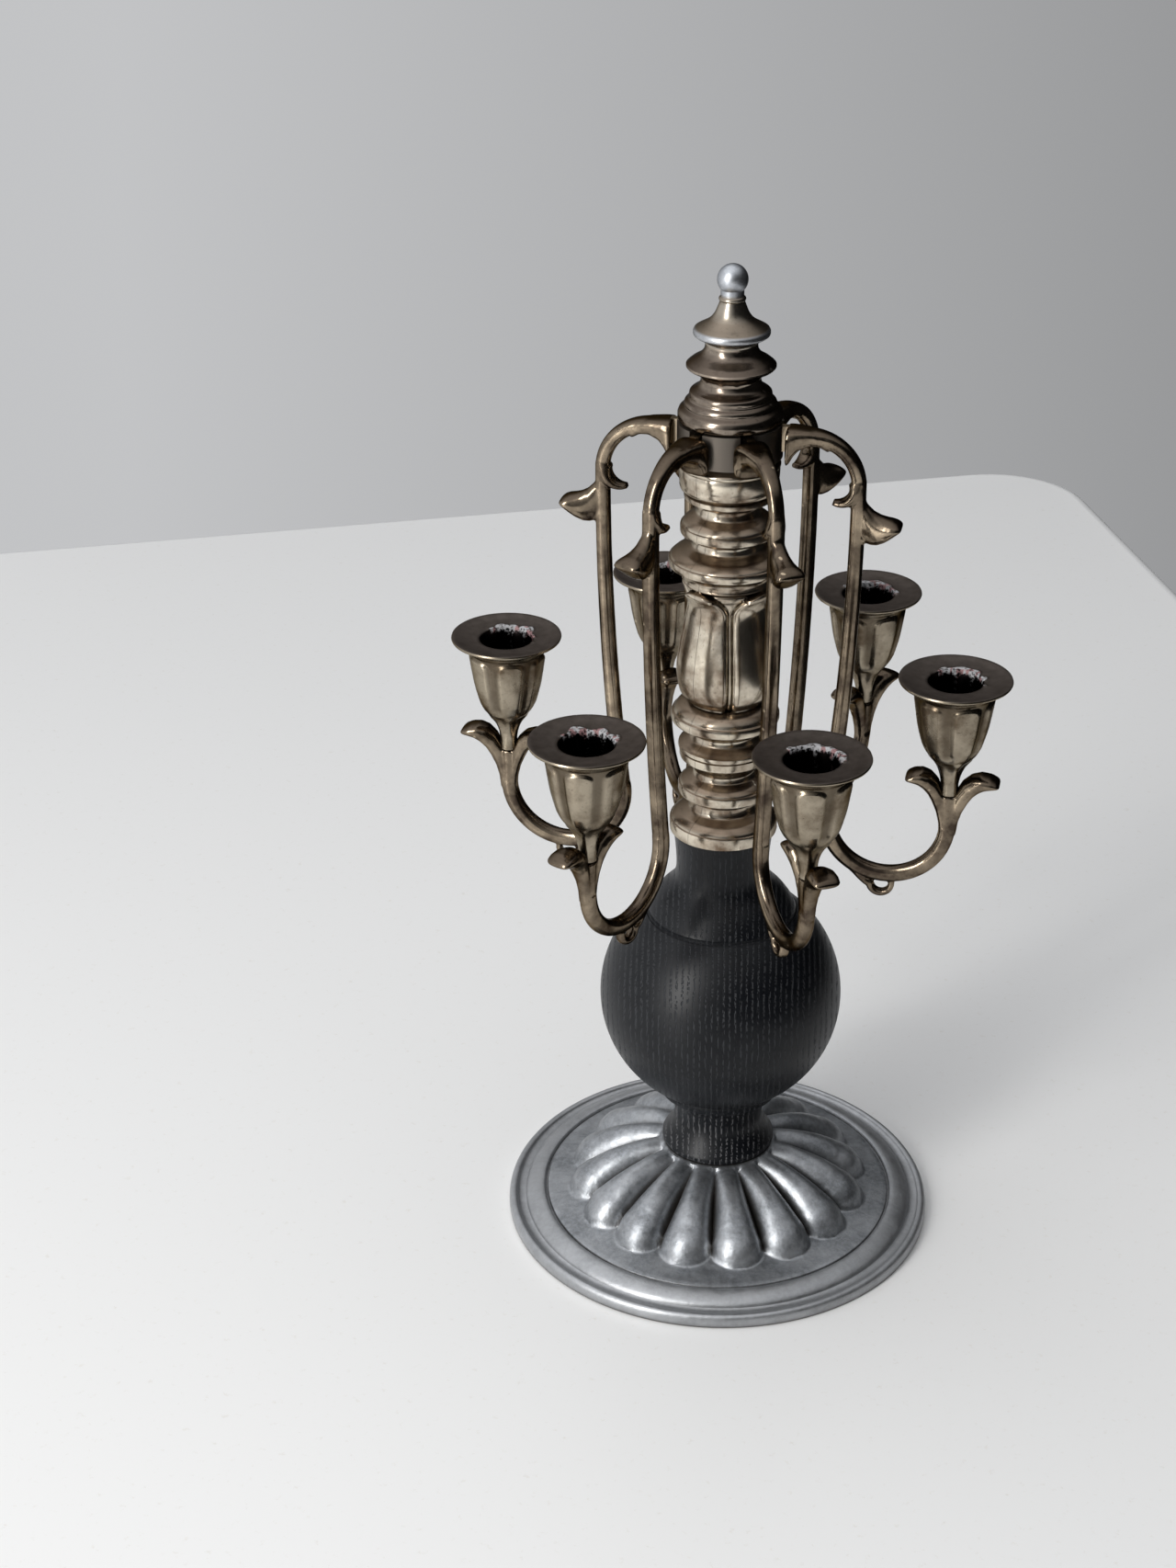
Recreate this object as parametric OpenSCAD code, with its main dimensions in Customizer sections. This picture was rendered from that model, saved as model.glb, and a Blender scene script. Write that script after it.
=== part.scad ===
// Six-light candelabrum: turned wooden stem on a gadrooned metal base, a cast
// column in two half shells, and six hooked arms that hang in keyholes round
// a hub under a screwed-down cap and finial. One long tie rod holds it together.
// Origin: centre of the base's underside. +Z up. Arm 1 points along +X.

/* [Base] */
// Outer radius of the base's rim
base_r = 54; // [52:0.5:60]
// Height of the base's seat for the wooden stem
base_h = 19.5; // [18:0.5:22]
// Wall thickness of the hollow base casting
base_wall = 1.8; // [1.4:0.1:2.4]
// Number of teardrop lobes round the base
lobe_count = 16; // [12:1:16]

/* [Wooden stem] */
// Radius of the stem's ball
ball_r = 30; // [28:0.5:32]
// Height of the ball's centre
ball_z = 63.5; // [62:0.5:65]
// Height of the stem's top, where the metal column starts
stem_top = 110; // [108:0.5:112]

/* [Arms] */
// Distance from the centre line to each candle cup's axis
cup_orbit_r = 53.8; // [50:0.2:58]
// Radius of the hook at the foot of each arm
hook_r = 14.4; // [13:0.1:15]
// Half the thickness of an arm's square bar
arm_half = 1.65; // [1.4:0.05:1.8]
// Distance from the centre line to each arm's hinge bead
bead_orbit_r = 8; // [7.8:0.1:8.4]
// How far each arm leans round its bead at rest, arm 1 first
arm_swing = [0, -0.7, -3.9, -2.6, 6.3, 0.7]; // [-8:0.1:8]

/* [Candle cups] */
// Radius of the hole for the candle
candle_r = 6.35; // [5.5:0.05:6.35]
// Radius of a cup's drip flange
drip_r = 13.2; // [12:0.1:14]

/* [Hidden] */
$fn = 48;
overcut = 1;

// tie rod, nut and washer
rod_r = 2.1;
rod_bottom = 7.5;
rod_top = 237;
rod_gap = 0.2;
thread_gap = 0.05;
nut_r = 4.6;
nut_h = 3.4;
washer_r = 7.5;
washer_h = 1.2;
base_roof = base_h - 2.5 * base_wall;

// base
seat_r = 14.6;
valley_in_r = 17;
valley_in_z = 15.4;
valley_out_r = 31;
valley_out_z = 7;
groove_r = 44.3;
groove_z = 4.7;
cove_r = 50.6;
cove_z = 2.7;
rim_h = 3.3;
lobe_phase = -3.4;
lobe_in_r = 16.2;
lobe_in_z = 17;
lobe_in_thick = 1.5;
lobe_out_r = 32.2;
lobe_out_z = 7.3;
lobe_out_thick = 6.2;

// wooden stem
foot_r = 14.2;
lip_r = 15;
lip_z = 37;
lower_waist_r = 11.1;
lower_waist_z = 28;
shoulder_r = 18.6;
neck_r = 10.05;
neck_z = 98;
stem_top_r = 11;

// column: each turned ring's radius, lowest and highest point, and the waist above it
seam_azimuth = 60;
column_top = 205.5;
column_hollow_r = 4.6;
column_cheek = 4;
column_rings = [
    [12.8, 110, 113, 7.8],
    [10.8, 120.2, 122.8, 6.6],
    [10.9, 128.4, 132.8, 8],
    [12.8, 139.2, 141.8, 9.6],
    [11.7, 145, 160, 8.7],
    [11, 170, 173.4, 10.2],
    [13.7, 178.2, 181.2, 7.9],
    [11.1, 186.6, 189.2, 7.2],
    [10.2, 194.8, 196.8, 9.7],
    [11.6, 197.4, 204.4, 9.8]];

// hub: six keyholes, open upwards, that the arms' beads drop into
hub_r = 12;
hub_top = 213.5;
keyhole_floor = 207;
bead_r = 1.65;
bead_gap = 0.05;
slot_half = 1.15;
slot_flare = 10.5;

// cap and finial
cap_gap = 0.1;
cap_bottom = hub_top + cap_gap;
cap_top = 231.6;
finial_bottom = cap_top + 0.1;
finial_bore_top = 237.6;
finial_ball_r = 3.46;
finial_ball_z = 246;
finial_neck_r = 2.6;

// arms
arm_step = 60;
tab_half = 1;
tab_low = 207.2;
tab_top = 213.2;
block_in_r = 13;
block_low = 204;
block_half = 3.8;
block_rise = 1.4;
arch_top = 211;
arch_r = 11.3;
bar_top_r = 29.6;
bar_top_z = 196;
bar_curve_r = 680;
hook_z = 116;
bar_lean = asin((bar_top_z - hook_z - hook_r * sin(6.6)) / bar_curve_r);
hook_centre_r = cup_orbit_r - hook_r;
peg_r = 1;
peg_h = 3;
arm_tip_z = 129.6;
leaf_half = 2.6;

// candle cups
cup_top = 154.8;
cup_dish = 0.8;
socket_floor = 138.8;

function arc(cr, cz, r, a0, a1, n) =
    [for (i = [0:n]) let (a = a0 + (a1 - a0) * i / n) [cr + r * cos(a), cz + r * sin(a)]];

// Rounded edge of a turned ring: a half ellipse out to radius r between two heights
function ring_edge(r, low, high, root) =
    [for (i = [0:8]) let (a = -90 + 180 * i / 8)
        [root + (r - root) * cos(a), (low + high) / 2 + (high - low) / 2 * sin(a)]];

// A leaf or horn seen from the side: an arc that tapers from half-thickness t0 to t1
function horn(cr, cz, r, a0, a1, t0, t1) =
    let (n = 8)
    concat(
        [for (i = [0:n]) let (s = i / n, a = a0 + (a1 - a0) * s, q = r + t0 + (t1 - t0) * s)
            [cr + q * cos(a), cz + q * sin(a)]],
        [for (i = [n:-1:0]) let (s = i / n, a = a0 + (a1 - a0) * s, q = r - t0 - (t1 - t0) * s)
            [cr + q * cos(a), cz + q * sin(a)]]);

// One long side of an arm, offset by s to the left of the way from its root to its cup
function arm_side(s) = concat(
    [[block_in_r + 2, arch_top + s]],
    arc(bar_top_r - arch_r, arch_top - arch_r, arch_r + s, 90, 0, 10),
    arc(bar_top_r - bar_curve_r, bar_top_z, bar_curve_r + s, 0, -bar_lean, 6),
    arc(hook_centre_r, hook_z, hook_r - s, 180 - bar_lean, 360, 20),
    [[cup_orbit_r - s, arm_tip_z]]);

function reversed(points) = [for (i = [len(points) - 1:-1:0]) points[i]];

// Makes a plate of half-width w from side outlines drawn as distance out and height
module side_plate(w) {
    rotate([90, 0, 0])
        translate([0, 0, -w])
            linear_extrude(2 * w)
                children();
}

module base_lobe() {
    run = lobe_out_r - lobe_in_r;
    drop = lobe_in_z - lobe_out_z;
    translate([lobe_out_r, 0, lobe_out_z]) {
        sphere(lobe_out_thick);
        rotate([0, -90 + atan(drop / run), 0])
            cylinder(r1 = lobe_out_thick, r2 = lobe_in_thick, h = norm([run, drop]));
    }
}

module base_plate() {
    color("lightslategray")
        difference() {
            union() {
                rotate_extrude()
                    polygon([[0, 0], [base_r, 0], [base_r, rim_h - 1.4], [base_r - 0.8, rim_h],
                        [base_r - 2, rim_h], [cove_r, cove_z], [cove_r - 1, cove_z + 0.8],
                        [groove_r + 2, groove_z + 0.2], [groove_r, groove_z - 0.3],
                        [groove_r - 0.3, groove_z + 0.2], [valley_out_r, valley_out_z],
                        [valley_in_r, valley_in_z], [seat_r, base_h - 1], [seat_r, base_h],
                        [0, base_h]]);
                for (i = [0:lobe_count - 1])
                    rotate([0, 0, lobe_phase + i * 360 / lobe_count])
                        base_lobe();
            }
            rotate_extrude()
                polygon([[0, -overcut], [base_r - 6, -overcut], [base_r - 6, cove_z - base_wall],
                    [valley_out_r, valley_out_z - base_wall], [valley_in_r - 1, valley_in_z - base_wall],
                    [seat_r - 2, base_roof], [0, base_roof]]);
            cylinder(r = rod_r + rod_gap, h = base_h + overcut);
        }
}

module tie_rod() {
    color("silver")
        translate([0, 0, rod_bottom])
            cylinder(r = rod_r, h = rod_top - rod_bottom);
}

module rod_nut() {
    color("silver")
        translate([0, 0, base_roof - washer_h - nut_h])
            difference() {
                cylinder(r = nut_r, h = nut_h, $fn = 6);
                translate([0, 0, -overcut])
                    cylinder(r = rod_r + thread_gap, h = nut_h + 2 * overcut);
            }
}

module rod_washer() {
    color("silver")
        translate([0, 0, base_roof - washer_h])
            difference() {
                cylinder(r = washer_r, h = washer_h);
                translate([0, 0, -overcut])
                    cylinder(r = rod_r + rod_gap, h = washer_h + 2 * overcut);
            }
}

module wood_stem() {
    ball_low = -acos(lip_r / ball_r);
    ball_high = acos(shoulder_r / ball_r);
    shoulder_z = ball_z + ball_r * sin(ball_high);
    color("#26272a")
        rotate_extrude()
            polygon(concat(
                [[rod_r + rod_gap, base_h], [foot_r - 0.6, base_h], [foot_r, base_h + 1.4],
                    [foot_r - 1.6, lower_waist_z - 4], [lower_waist_r, lower_waist_z],
                    [lower_waist_r + 1.2, lip_z - 5], [lip_r - 0.6, lip_z - 2.6]],
                arc(0, ball_z, ball_r, ball_low, ball_high, 20),
                [[shoulder_r - 0.8, shoulder_z + 0.2], [shoulder_r - 1, shoulder_z + 2],
                    [shoulder_r - 3.6, shoulder_z + 5], [neck_r + 1, neck_z - 3], [neck_r, neck_z],
                    [neck_r + 0.2, neck_z + 5], [stem_top_r, stem_top - 2], [stem_top_r, stem_top],
                    [rod_r + rod_gap, stem_top]]));
}

module column_half(from_azimuth) {
    count = len(column_rings);
    color("#8d8674")
        rotate([0, 0, from_azimuth])
            rotate_extrude(angle = 180)
                polygon(concat(
                    [[rod_r + rod_gap, stem_top]],
                    [for (i = [0:count - 1]) each concat(
                        ring_edge(column_rings[i][0], column_rings[i][1], column_rings[i][2],
                            i == 0 ? column_rings[i][3] : column_rings[i - 1][3]),
                        i == count - 1 ? [] :
                            [[column_rings[i][3], (column_rings[i][2] + column_rings[i + 1][1]) / 2]])],
                    [[column_rings[count - 1][3], column_top], [rod_r + rod_gap, column_top],
                        [rod_r + rod_gap, column_top - column_cheek],
                        [column_hollow_r, column_top - column_cheek],
                        [column_hollow_r, stem_top + column_cheek],
                        [rod_r + rod_gap, stem_top + column_cheek]]));
}

module column_left_half() {
    column_half(seam_azimuth);
}

module column_right_half() {
    column_half(seam_azimuth + 180);
}

module keyhole() {
    slot_reach = hub_r + overcut - bead_orbit_r;
    translate([bead_orbit_r, 0, keyhole_floor]) {
        cylinder(r = bead_r + bead_gap, h = hub_top);
        linear_extrude(hub_top)
            polygon([[0, -slot_half], [slot_reach, -slot_half - slot_reach * tan(slot_flare)],
                [slot_reach, slot_half + slot_reach * tan(slot_flare)], [0, slot_half]]);
    }
}

module arm_hub() {
    color("#6d6658")
        difference() {
            translate([0, 0, column_top])
                cylinder(r = hub_r, h = hub_top - column_top);
            cylinder(r = rod_r + rod_gap, h = hub_top + overcut);
            for (i = [0:5])
                rotate([0, 0, arm_step * i])
                    keyhole();
        }
}

module cap() {
    color("#7c7364")
        rotate_extrude()
            polygon(concat(
                [[rod_r + rod_gap, cap_bottom]],
                ring_edge(11.9, cap_bottom, 217.4, 9.6),
                ring_edge(9.4, 217.8, 220, 8.6),
                [[8, 221], [6.8, 223.4], [8.8, 225.8]],
                ring_edge(10.1, 226, 228.2, 9.2),
                [[8.2, 229.2], [5.9, 230.4], [5.9, cap_top], [rod_r + rod_gap, cap_top]]));
}

module finial() {
    neck_join = finial_ball_z - sqrt(pow(finial_ball_r, 2) - pow(finial_neck_r, 2));
    color("#a9a9a6")
        rotate_extrude()
            polygon(concat(
                [[rod_r + thread_gap, finial_bottom], [6, finial_bottom], [6.4, 232.8]],
                ring_edge(8.6, 233.2, 235.8, 7.4),
                [[7, 236.2], [5.4, 237], [3.8, 238.6], [3, 240.4], [finial_neck_r, 242], [3, 242.4]],
                [[finial_neck_r, neck_join]],
                arc(0, finial_ball_z, finial_ball_r, -acos(finial_neck_r / finial_ball_r), 90, 12),
                [[0, finial_bore_top], [rod_r + thread_gap, finial_bore_top]]));
}

// Moves an arm or a cup, drawn along +X, to its keyhole with its own lean
module place_arm(i) {
    rotate([0, 0, arm_step * (i - 1)])
        translate([bead_orbit_r, 0, 0])
            rotate([0, 0, arm_swing[i - 1]])
                translate([-bead_orbit_r, 0, 0])
                    children();
}

module arm_root() {
    translate([bead_orbit_r, 0, tab_low])
        cylinder(r = bead_r, h = tab_top - tab_low);
    translate([bead_orbit_r, -tab_half, tab_low])
        cube([block_in_r + 1 - bead_orbit_r, 2 * tab_half, tab_top - tab_low]);
    side_plate(block_half)
        polygon([[block_in_r, block_low], [block_in_r + 1.1, block_low + 0.7],
            [block_in_r + 2.6, block_low + 2.6], [block_in_r + 4.9, block_low + 4.2],
            [block_in_r + 5.3, arch_top + block_rise], [block_in_r, arch_top + block_rise]]);
}

module arm_bar() {
    side_plate(arm_half) {
        polygon(concat(arm_side(arm_half), reversed(arm_side(-arm_half))));
        polygon(horn(38.8, 98.9, 2.7, 150, 390, 0.9, 0.9));
    }
    translate([cup_orbit_r, 0, arm_tip_z - 1])
        cylinder(r = peg_r, h = peg_h + 1);
}

module arm_leaves() {
    side_plate(leaf_half) {
        polygon(horn(35.5, 203, 12.6, 242, 290, 4, 0.5));
        polygon(horn(25, 199.6, 4.3, -8, -104, 1.6, 0.4));
        polygon(horn(cup_orbit_r - 6.2, 122.6, 5.9, -4, 132, 1.5, 0.5));
        polygon(horn(cup_orbit_r + 6.2, 122.6, 5.9, 184, 48, 1.5, 0.5));
    }
}

module arm(i) {
    color("#6b6456")
        place_arm(i) {
            arm_root();
            arm_bar();
            arm_leaves();
        }
}

module arm_1() { arm(1); }
module arm_2() { arm(2); }
module arm_3() { arm(3); }
module arm_4() { arm(4); }
module arm_5() { arm(5); }
module arm_6() { arm(6); }

module candle_cup(i) {
    color("#8a8271")
        place_arm(i)
            translate([cup_orbit_r, 0, 0])
                rotate_extrude()
                    polygon([[peg_r + thread_gap, arm_tip_z], [2.5, arm_tip_z], [3, 131.3],
                        [4, 134.7], [6.5, 137.4], [7.4, 139], [8.6, 144], [9.5, 149.4], [9.9, 152.5], [drip_r, cup_top - 0.9], [drip_r, cup_top],
                        [candle_r, cup_top - cup_dish], [candle_r, socket_floor], [0, socket_floor],
                        [0, arm_tip_z + peg_h + 0.5], [peg_r + thread_gap, arm_tip_z + peg_h + 0.5]]);
}

module candle_cup_1() { candle_cup(1); }
module candle_cup_2() { candle_cup(2); }
module candle_cup_3() { candle_cup(3); }
module candle_cup_4() { candle_cup(4); }
module candle_cup_5() { candle_cup(5); }
module candle_cup_6() { candle_cup(6); }

base_plate();
tie_rod();
rod_nut();
rod_washer();
wood_stem();
column_left_half();
column_right_half();
arm_hub();
cap();
finial();
arm_1();
arm_2();
arm_3();
arm_4();
arm_5();
arm_6();
candle_cup_1();
candle_cup_2();
candle_cup_3();
candle_cup_4();
candle_cup_5();
candle_cup_6();
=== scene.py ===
import math
import bmesh
import bpy
from mathutils import Euler, Matrix, Vector, noise


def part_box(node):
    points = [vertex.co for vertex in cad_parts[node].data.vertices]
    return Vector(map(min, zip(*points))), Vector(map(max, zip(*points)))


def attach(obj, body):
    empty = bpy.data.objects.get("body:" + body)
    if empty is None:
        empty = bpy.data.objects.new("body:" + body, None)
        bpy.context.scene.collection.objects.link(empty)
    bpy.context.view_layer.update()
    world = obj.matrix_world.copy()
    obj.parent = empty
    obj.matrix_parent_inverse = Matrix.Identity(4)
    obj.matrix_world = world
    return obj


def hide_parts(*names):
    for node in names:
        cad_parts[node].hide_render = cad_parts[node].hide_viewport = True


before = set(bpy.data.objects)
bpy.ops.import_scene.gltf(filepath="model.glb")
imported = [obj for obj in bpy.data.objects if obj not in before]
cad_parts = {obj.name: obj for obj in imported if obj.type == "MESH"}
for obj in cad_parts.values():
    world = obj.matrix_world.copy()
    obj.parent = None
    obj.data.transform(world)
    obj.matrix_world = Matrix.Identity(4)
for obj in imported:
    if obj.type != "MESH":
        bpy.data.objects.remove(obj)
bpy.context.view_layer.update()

# ---------------------------------------------------------------- camera, table and light
# The candelabrum stands near the corner of a pale laminate table with rounded
# edges, in front of a plain grey wall, lit by one large window on the left.

camera_place = Vector((0.09736, -0.56365, 0.4196))
camera_turn = Euler((math.radians(62.451), 0, math.radians(13.074))).to_matrix()
camera_roll = Matrix.Rotation(math.radians(-0.502), 3, "Z")
camera_data = bpy.data.cameras.new("camera")
camera_data.sensor_fit = "VERTICAL"
camera_data.sensor_height = 36
camera_data.lens = 61.56
camera_data.clip_start = 0.01
camera = bpy.data.objects.new("camera", camera_data)
camera.matrix_world = Matrix.Translation(camera_place) @ (camera_turn @ camera_roll).to_4x4()
bpy.context.collection.objects.link(camera)
bpy.context.scene.camera = camera


def start_material(name, colour, metallic, roughness):
    """A new material whose shader has these plain values on its own sockets."""
    material = bpy.data.materials.new(name)
    material.use_nodes = True
    shader = material.node_tree.nodes["Principled BSDF"]
    shader.inputs["Base Color"].default_value = (*colour, 1)
    shader.inputs["Metallic"].default_value = metallic
    shader.inputs["Roughness"].default_value = roughness
    return material


def put(material, kind, inputs, **settings):
    """Adds a shader node; an input is a value or another node's output."""
    made = material.node_tree.nodes.new("ShaderNode" + kind)
    for setting, value in settings.items():
        setattr(made, setting, value)
    for socket, value in inputs.items():
        if isinstance(value, bpy.types.NodeSocket):
            material.node_tree.links.new(value, made.inputs[socket])
        else:
            made.inputs[socket].default_value = value
    return made


def feed(material, socket, output):
    """Links an output to a socket of the material's shader."""
    shader = material.node_tree.nodes["Principled BSDF"]
    material.node_tree.links.new(output, shader.inputs[socket])


def object_place(material):
    return put(material, "TexCoord", {}).outputs["Object"]


def between(material, value, low, high, to_low=0.0, to_high=1.0):
    """The value's way from low to high, held at the ends."""
    inputs = {"Value": value, "From Min": low, "From Max": high, "To Min": to_low, "To Max": to_high}
    return put(material, "MapRange", inputs).outputs["Result"]


def mix_colours(material, share, first, second):
    inputs = {0: share, 6: first, 7: second}
    return put(material, "Mix", inputs, data_type="RGBA").outputs[2]


def speckle(material, scale, detail=4.0, roughness=0.55):
    """Noise on the object's own coordinates, scale in patches per metre."""
    inputs = {"Vector": object_place(material), "Scale": scale, "Detail": detail, "Roughness": roughness}
    return put(material, "TexNoise", inputs).outputs["Fac"]


def add_bump(material, height, strength, distance):
    inputs = {"Height": height, "Strength": strength, "Distance": distance}
    feed(material, "Normal", put(material, "Bump", inputs).outputs["Normal"])


def show(name, mesh_data, material):
    """Puts a finished mesh in the scene at the origin, smooth but for its sharp edges."""
    mesh_data.materials.append(material)
    mesh_data.shade_smooth()
    mesh_data.set_sharp_from_angle(angle=math.radians(38))
    piece = bpy.data.objects.new(name, mesh_data)
    bpy.context.collection.objects.link(piece)
    return piece


table_turn = math.radians(24.1)
table_left, table_right = -1.8, 0.272
table_near, table_far = -1.4, 0.490
table_corner_r = 0.04
table_edge_r = 0.007
table_thick = 0.03

table = bmesh.new()
corners = [(table_left, table_near), (table_right, table_near),
           (table_right, table_far), (table_left, table_far)]
table_face = table.faces.new([table.verts.new((u, v, 0)) for u, v in corners])
bmesh.ops.bevel(table, geom=table.verts[:], affect="VERTICES", offset=table_corner_r,
                segments=12, profile=0.5, material=-1)
raised = bmesh.ops.extrude_face_region(table, geom=table.faces[:])
below = [part for part in raised["geom"] if isinstance(part, bmesh.types.BMVert)]
bmesh.ops.translate(table, verts=below, vec=(0, 0, -table_thick))
bmesh.ops.recalc_face_normals(table, faces=table.faces[:])
top_rim = [edge for edge in table.edges
           if all(abs(v.co.z) < 1e-6 for v in edge.verts) and len(edge.link_faces) == 2
           and any(abs(face.normal.z) < 0.5 for face in edge.link_faces)]
bmesh.ops.bevel(table, geom=top_rim, affect="EDGES", offset=table_edge_r,
                segments=5, profile=0.5, material=-1)
bmesh.ops.rotate(table, verts=table.verts[:], matrix=Matrix.Rotation(table_turn, 3, "Z"))
table_data = bpy.data.meshes.new("table_top")
table.to_mesh(table_data)

laminate = start_material("pale_laminate", (0.82, 0.82, 0.81), 0.0, 0.32)
fleck_share = between(laminate, speckle(laminate, 420, 5, 0.7), 0.60, 0.72, 0.0, 0.35)
feed(laminate, "Base Color",
     mix_colours(laminate, fleck_share, (0.82, 0.82, 0.815, 1), (0.62, 0.58, 0.51, 1)))
show("table_top", table_data, laminate)


def soft_box(name, azimuth, elevation, distance, wide, high, watts, colour):
    """A soft lamp that faces the middle of the candelabrum from this direction."""
    aim = Vector((0, 0, 0.12))
    a, e = math.radians(azimuth), math.radians(elevation)
    way = Vector((math.cos(e) * math.cos(a), math.cos(e) * math.sin(a), math.sin(e)))
    lamp = bpy.data.lights.new(name, "AREA")
    lamp.shape = "RECTANGLE"
    lamp.size, lamp.size_y = wide, high
    lamp.energy = watts
    lamp.color = colour
    lamp_object = bpy.data.objects.new(name, lamp)
    lamp_object.matrix_world = (Matrix.Translation(aim + distance * way)
                                @ way.to_track_quat("Z", "Y").to_matrix().to_4x4())
    bpy.context.collection.objects.link(lamp_object)


soft_box("window", azimuth=238, elevation=24, distance=1.25, wide=0.26, high=1.0,
         watts=13.5, colour=(1.0, 0.99, 0.97))

room = bpy.data.worlds.new("room")
bpy.context.scene.world = room
room.use_nodes = True
room_nodes, room_links = room.node_tree.nodes, room.node_tree.links
room_nodes.clear()


def room_node(kind, inputs, **settings):
    made = room_nodes.new("ShaderNode" + kind)
    for setting, value in settings.items():
        setattr(made, setting, value)
    for socket, value in inputs.items():
        if isinstance(value, bpy.types.NodeSocket):
            room_links.new(value, made.inputs[socket])
        else:
            made.inputs[socket].default_value = value
    return made


direction = room_node("TexCoord", {}).outputs["Generated"]
window_way = (-0.93, -0.16, 0.33)
toward_window = room_node("VectorMath", {0: direction, 1: window_way}, operation="DOT_PRODUCT")
side_glow = room_node("MapRange", {"Value": toward_window.outputs["Value"], "From Min": -0.1,
                                   "From Max": 0.9, "To Min": 0.012, "To Max": 0.85})
ceiling_glow = room_node("MapRange", {"Value": room_node("SeparateXYZ", {0: direction}).outputs["Z"],
                                      "From Min": 0.55, "From Max": 0.92, "To Min": 0.0, "To Max": 0.85})
wall_glow = room_node("Math", {0: side_glow.outputs[0], 1: ceiling_glow.outputs[0]}, operation="ADD")
# The wall that the camera sees is painted lighter on the left and darker to the right: painted light falling
# off from the window.
wall_right = (0.985, 0.17, 0.0)
toward_right = room_node("VectorMath", {0: direction, 1: wall_right}, operation="DOT_PRODUCT")
wall_seen = room_node("MapRange", {"Value": toward_right.outputs["Value"], "From Min": -0.22,
                                   "From Max": 0.22, "To Min": 0.56, "To Max": 0.29})
seen = room_node("LightPath", {}).outputs["Is Camera Ray"]
wall_light = room_node("Mix", {0: seen, 2: wall_glow.outputs[0], 3: wall_seen.outputs[0]},
                       data_type="FLOAT")
backdrop = room_node("Background", {"Color": (0.97, 0.98, 1.0, 1), "Strength": wall_light.outputs[0]})
room_links.new(backdrop.outputs[0], room_node("OutputWorld", {}).inputs["Surface"])
bpy.context.scene.view_settings.view_transform = "Standard"

# ---------------------------------------------------------------- base
# A round zinc casting. Sixteen teardrop lobes fan out from the stem's seat to a
# plain brim with a scored line, a step and a rolled rim. The satin grey skin is
# browned in the valleys with dirt and painted shade, and the brim is painted
# lighter, a painted reflection.

mm = 0.001
base_low, base_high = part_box("base_plate")
base_r = base_high.x / mm
seat_r, seat_z = 14.6, base_high.z / mm
rod_hole_r = 2.3


def smooth_line(points, per=4):
    """A smooth line through given points, with per steps from each to the next."""
    line = []
    ends = [points[0]] + list(points) + [points[-1]]
    for a, b, c, d in zip(ends, ends[1:], ends[2:], ends[3:]):
        for k in range(per):
            t = k / per
            line.append(tuple(0.5 * (2 * q + (r - p) * t + (2 * p - 5 * q + 4 * r - s) * t * t
                                     + (3 * q - p - 3 * r + s) * t ** 3)
                              for p, q, r, s in zip(a, b, c, d)))
    return line + [tuple(points[-1])]


def lathe(outline, steps, turn=2 * math.pi, start=0.0):
    """Turns a closed outline of (radius, height) in mm about the upright axis."""
    turned = bmesh.new()
    rim = [turned.verts.new((r * mm * math.cos(start), r * mm * math.sin(start), z * mm))
           for r, z in outline]
    full = abs(turn - 2 * math.pi) < 1e-6
    if full:
        profile = rim + [turned.edges.new((a, b)) for a, b in zip(rim, rim[1:] + rim[:1])]
    else:
        profile = rim + [turned.faces.new(rim)]
        profile += list(profile[-1].edges)
    bmesh.ops.spin(turned, geom=profile, cent=(0, 0, 0), axis=(0, 0, 1), angle=turn,
                   steps=steps, use_merge=full, use_duplicate=False)
    bmesh.ops.remove_doubles(turned, verts=turned.verts[:], dist=1e-7)
    bmesh.ops.recalc_face_normals(turned, faces=turned.faces[:])
    return turned


def finish_mesh(shape, name):
    mesh_data = bpy.data.meshes.new(name)
    shape.to_mesh(mesh_data)
    shape.free()
    return mesh_data


lobe_count = 16
lobe_phase = math.radians(-3.4)
lobe_step = 2 * math.pi / lobe_count
lobe_end_r = 32.1
lobe_round = 6.3
crest = [(14.6, 19.3), (20, 18.7), (26, 16.9), (30, 15.0), (33, 13.2), (40, 11.0)]
valley = [(14.6, 17.9), (18.5, 15.2), (22, 12.3), (26, 9.6), (29, 8.0), (31, 7.1), (44.3, 4.9)]


def height_on(line, r):
    """Height of a line of (radius, height) points at this radius."""
    for (r0, z0), (r1, z1) in zip(line, line[1:]):
        if r <= r1:
            t = max(0.0, (r - r0) / (r1 - r0))
            return z0 + (z1 - z0) * t
    return line[-1][1]


crest_line = smooth_line(crest, 6)
valley_line = smooth_line(valley, 6)


def lobed_height(r, azimuth):
    """Height of the base's top between the seat and the brim."""
    off = (azimuth - lobe_phase + lobe_step / 2) % lobe_step - lobe_step / 2
    along, across = r * math.cos(off), r * math.sin(off)
    floor = height_on(valley_line, r)
    top = height_on(crest_line, r)
    if along < lobe_end_r:
        u = abs(across) / (along * math.tan(lobe_step / 2) + 0.04)
    else:
        u = math.hypot(along - lobe_end_r, across) / lobe_round
    if u >= 1:
        return floor
    return floor + (top - floor) * (1 - u ** 2.1) ** 0.52


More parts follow.
